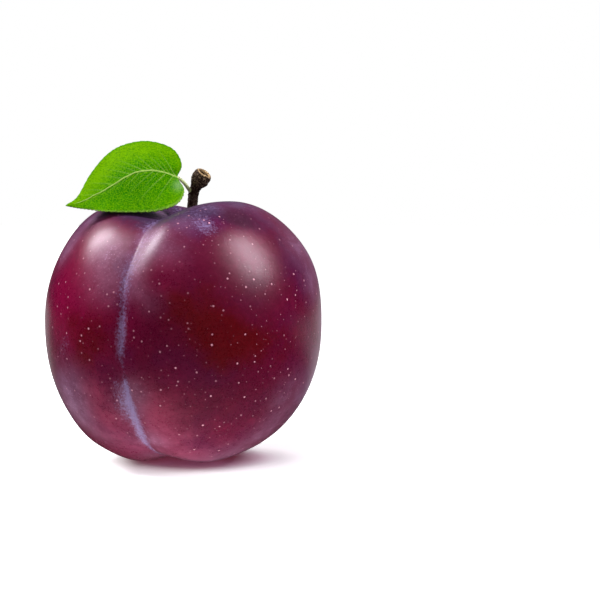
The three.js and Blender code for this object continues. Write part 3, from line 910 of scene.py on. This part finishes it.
def leaf_material(s):
    """Satin green: lighter to the edges as painted light, darker by the midrib and at the upper
    margin as painted shade, with a painted sheen beside the stalk, pale veins and a fine net.
    """
    fixed = {"IOR": 1.42, "Specular IOR Level": 0.006}
    material, w, shader = new_material("leaf green", fixed)
    at = w.add("TexCoord").outputs
    cloud, fine = clouds(w, at["Object"], 3.0, 2.6, 0.6), clouds(w, at["Object"], 0.42, 3.2, 0.8)
    net = w.add("TexVoronoi", {"Vector": at["UV"], "Scale": 2.1},
                feature="DISTANCE_TO_EDGE", voronoi_dimensions="2D").outputs["Distance"]
    net = w.span(net, 0.3, 0.05)
    height, along = w.mask("height"), w.mask("along")
    upward = w.plus(height, w.times(w.math("SUBTRACT", cloud, 0.5), 0.5))
    from_rib = w.plus(w.math("ABSOLUTE", height), w.times(height, 0.35))
    layers = (
        # painted light: lighter green towards the upper margin and the tip, and towards the lower
        # margin
        (w.span(w.plus(w.times(upward, 0.6), along), 0.4, 1.0), s.lime_and_light),
        (w.span(w.times(upward, -1.0), 0.6, 1.1, 0.0, 0.4), s.lime_and_light),
        # painted shade: darker green beside the midrib, most towards the base
        (w.times(w.span(from_rib, 0.7, 0.1), w.span(along, 0.95, 0.3, 0.3, 1.0)), s.deep_and_shade),
        (w.span(fine, 0.5, 0.95, 0.0, 0.4), s.lime_and_light),
        (w.span(fine, 0.6, 0.1, 0.0, 0.65), s.deep_and_shade),
        (w.times(net, w.span(fine, 0.1, 0.8, 0.1, 0.7)), s.lime_and_light),
        (w.times(w.mask("vein"), 0.55), s.vein),
        # painted sheen: the pale spot beside the stalk
        (w.times(w.mask("pale"), 0.3), s.pale),
        # painted shade: darker green along the upper margin
        (w.span(height, 0.9, 1.0, 0.0, 0.45), s.deep_and_shade),
        (w.span(height, -0.93, -1.0, 0.0, 0.45), s.vein),
        (w.span(w.mask("rib"), 0.3, 0.95), s.vein),
        (w.mask("stalk"), s.stalk),
        (w.times(w.mask("under"), 0.35), s.under),
    )
    green = s.green
    for strength, layer in layers:
        green = w.mix(strength, green, layer)
    w.put(shader.inputs["Base Color"], green)
    w.put(shader.inputs["Roughness"], w.span(fine, 0.1, 0.9, 0.40, 0.54))
    relief = w.plus(w.times(net, -0.5), w.times(fine, 0.5))
    add_bump(w, shader, relief, 0.45, 0.12 * MM)
    return material


class BuildLeaf(Operator):
    """Build the leaf: toothed blade, veins, midrib and petiole"""

    bl_idname = "plum.leaf"
    bl_label = "Leaf"

    def execute(self, context):
        s = context.scene.plum_leaf
        verts, faces, masks, uv = leaf_surface(s)
        make_piece("plum_leaf", verts, faces, masks, leaf_material(s), "leaf", uv)
        return {"FINISHED"}


# ---- stage ----

WAIST = Vector((0, 0, 28.85 * MM))
LENS, SENSOR, IMAGE = 100.0, 36.0, 600
DISTANCE, ELEVATION = 0.351, math.radians(4.0)
PLACE = (-116.3, -22.3)  # where the waist stands from the picture's middle, in pixels
# lamps: setting, heading from the waist, distance and sides in m, roll in degrees, and whether
# it shows as a highlight
LAMPS = {
    "key_left": ("key", (-0.60, 0.17, 0.78), 0.6, (0.12, 0.27), -14, True),
    "side_right": ("side", (0.72, -0.14, 0.70), 0.6, (0.135, 0.30), -12, True),
    "fill_left": ("fill", (-0.72, -0.38, 0.56), 0.6, (0.27, 0.27), 0, False),
    "overhead": ("top", (0.05, -0.1, 1.0), 0.9, (0.5, 0.5), 0, False),
    "front": ("front", (0.10, -0.9, 0.35), 1.0, (0.9, 0.9), 0, False),
}
# the shadow is a round spot once the floor is stretched and moved like this, in m
SHADOW_STRETCH, SHADOW_MOVE = (1.2, 1.3, 1.0), (-0.0042, -0.0005, 0.0)
# what the object gets of the floor's colour, in its soft light and in its mirror light
FLOOR_SOFT, FLOOR_MIRROR = (0.3, 0.3, 0.3), (0.012, 0.012, 0.012)
FLOOR_RINGS, FLOOR_SIDES, FLOOR_LOW = (0.1, 0.3, 1.0, 4.0), 96, 2e-5  # m


def floor_material(s):
    """Pale matt floor. Away from the shadow the camera sees it glow as bright as the room.

    To the object it glows too: softly close by, and behind it, more on the right, as the pale
    band that its rims mirror.
    """
    fixed = {"Roughness": 0.8, "Specular IOR Level": 0.0, "Emission Color": (1, 1, 1)}
    material, w, shader = new_material("pale floor", fixed)
    at = w.add("TexCoord").outputs["Object"]
    ray = w.add("LightPath").outputs
    place = w.add("SeparateXYZ", {0: at}).outputs
    away = w.add("VectorMath", {0: at}, operation="LENGTH").outputs["Value"]
    oval = w.add("VectorMath", {0: at, 1: SHADOW_STRETCH, 2: SHADOW_MOVE},
                 operation="MULTIPLY_ADD").outputs[0]
    oval = w.add("VectorMath", {0: oval}, operation="LENGTH").outputs["Value"]
    unseen = w.mix(ray["Is Glossy Ray"], FLOOR_SOFT, FLOOR_MIRROR)
    # painted shadow: the camera sees the floor tinted red-violet in the shadow's core
    seen = w.mix(w.span(oval, 0.021, 0.010), s.floor, s.painted_shadow_tint)
    w.put(shader.inputs["Base Color"], w.mix(ray["Is Camera Ray"], unseen, seen))
    # the glow for the camera: round the shadow, far out, and on the shadow's left
    glow = w.plus(w.span(oval, 0.0145, 0.0285, 0.0, 0.5), w.span(away, 0.12, 0.5, 0.0, 0.5),
                  w.span(place["X"], -0.009, -0.0155, 0.0, 0.5))
    glow = w.times(glow, ray["Is Camera Ray"])
    # the glow for the object: close by, and behind it
    soft = w.times(ray["Is Diffuse Ray"], s.bounce)
    mirror = w.times(ray["Is Glossy Ray"], s.bounce * 0.02)
    near = w.times(w.span(away, 0.024, 0.062, 1.0, 0.0), w.plus(soft, mirror))
    rightward = w.plus(place["X"], w.times(place["Y"], 0.8))
    back = w.times(w.span(place["Y"], 0.018, 0.09, 0.0, s.room * 3.2), ray["Is Glossy Ray"],
                   w.span(rightward, -0.06, 0.05, 0.15, 1.0))
    glow = w.plus(glow, w.plus(near, back))
    w.put(shader.inputs["Emission Strength"], glow)
    material.cycles.emission_sampling = "NONE"
    return material


def room_light(scene, s):
    """A room that is pale low behind the object, more on the right, and dark elsewhere; the
    camera sees it white.
    """
    world = bpy.data.worlds.new("pale room")
    world.use_nodes = True
    world.node_tree.nodes.clear()
    w = Wiring(world.node_tree)
    heading = w.add("TexCoord").outputs["Generated"]
    heading = w.add("SeparateXYZ", {0: heading}).outputs
    bright = w.times(w.span(heading["Y"], 0.7, 0.95, 0.0, s.room),
                     w.span(heading["Z"], 0.2, 0.6, 1.0, 0.3),
                     w.span(heading["X"], -0.6, 0.4, 0.2, 1.0))
    bright = w.plus(bright, 0.004)
    dim = w.add("Background", {"Color": s.air, "Strength": bright})
    white = w.add("Background", {"Color": (1, 1, 1), "Strength": 1.0})
    seen = w.add("LightPath").outputs["Is Camera Ray"]
    mixed = w.add("MixShader", {0: seen, 1: dim.outputs[0], 2: white.outputs[0]})
    w.add("OutputWorld", {"Surface": mixed.outputs[0]})
    scene.world = world


def softbox(name, energy, tint, heading, distance, size, roll, highlight):
    """A rectangular area light at a heading from the waist, aimed at it and rolled about it."""
    light = bpy.data.lights.new(name, "AREA")
    light.shape, light.size, light.size_y = "RECTANGLE", *size
    light.energy, light.color = energy, tint
    lamp = new_object(name, light)
    heading = Vector(heading).normalized()
    lamp.location = WAIST + heading * distance
    aim = (-heading).to_track_quat("-Z", "Y").to_matrix()
    lamp.rotation_euler = (aim @ Matrix.Rotation(math.radians(roll), 3, "Z")).to_euler()
    lamp.visible_camera, lamp.visible_glossy = False, highlight


def set_camera(scene):
    """The camera stands at DISTANCE and ELEVATION before the waist, and is turned without
    roll until the waist falls at PLACE in the picture.
    """
    data = bpy.data.cameras.new("camera")
    data.lens, data.sensor_width, data.clip_start, data.clip_end = LENS, SENSOR, 0.01, 50
    camera = new_object("camera", data)
    pixel = IMAGE * LENS / SENSOR
    a, b = -PLACE[0] / pixel, -PLACE[1] / pixel
    n = math.sqrt(1 + a * a + b * b)
    pitch = math.asin(n * math.sin(ELEVATION) / math.sqrt(1 + b * b)) - math.atan(b)
    yaw = math.atan(a / (math.cos(pitch) - b * math.sin(pitch)))
    camera.location = WAIST + DISTANCE * Vector((0, -math.cos(ELEVATION), math.sin(ELEVATION)))
    camera.rotation_euler = (math.pi / 2 - pitch, 0, -yaw)
    scene.camera = camera


class BuildStage(Operator):
    """Set up the pale floor, the softboxes, the room and the camera"""

    bl_idname = "plum.stage"
    bl_label = "Stage"

    def execute(self, context):
        scene, s = context.scene, context.scene.plum_stage
        turn = 2 * np.pi * np.arange(FLOOR_SIDES) / FLOOR_SIDES
        flat = np.full((len(FLOOR_RINGS), FLOOR_SIDES), -FLOOR_LOW)
        verts = np.stack([np.outer(FLOOR_RINGS, np.cos(turn)),
                          np.outer(FLOOR_RINGS, np.sin(turn)), flat], -1).reshape(-1, 3)
        mesh = bpy.data.meshes.new("floor")
        faces = quads(len(FLOOR_RINGS), FLOOR_SIDES, True)[:, ::-1].tolist()
        mesh.from_pydata(verts, [], faces + [list(range(FLOOR_SIDES))])
        mesh.materials.append(floor_material(s))
        floor = new_object("floor", mesh)
        for name, (setting, *placing) in LAMPS.items():
            softbox(name, getattr(s, setting), s.lamp, *placing)
        room_light(scene, s)
        set_camera(scene)
        scene.view_settings.view_transform = "Standard"
        return {"FINISHED"}


# ---- panel ----


class PlumPanel(Panel):
    """Sizes, colours and build buttons of the plum"""

    bl_idname = "VIEW3D_PT_plum"
    bl_label = "Plum"
    bl_space_type = "VIEW_3D"
    bl_region_type = "UI"
    bl_category = "Plum"

    def draw(self, context):
        for operator, group in STEPS:
            box = self.layout.box()
            box.operator(operator.bl_idname)
            settings = getattr(context.scene, group)
            for name in settings.__annotations__:
                box.prop(settings, name)


STEPS = (
    (BuildFruit, "plum_fruit"),
    (BuildStem, "plum_stem"),
    (BuildLeaf, "plum_leaf"),
    (BuildStage, "plum_stage"),
)
SETTINGS = {
    "plum_fruit": FruitSettings,
    "plum_stem": StemSettings,
    "plum_leaf": LeafSettings,
    "plum_stage": StageSettings,
}
CLASSES = (*SETTINGS.values(), *(operator for operator, _ in STEPS), PlumPanel)


def register():
    for cls in CLASSES:
        bpy.utils.register_class(cls)
    for name, group in SETTINGS.items():
        setattr(Scene, name, PointerProperty(type=group))


def unregister():
    for name in SETTINGS:
        delattr(Scene, name)
    for cls in reversed(CLASSES):
        bpy.utils.unregister_class(cls)


def main():
    register()
    bpy.ops.plum.fruit()
    bpy.ops.plum.stem()
    bpy.ops.plum.leaf()
    bpy.ops.plum.stage()


if __name__ == "__main__":
    main()
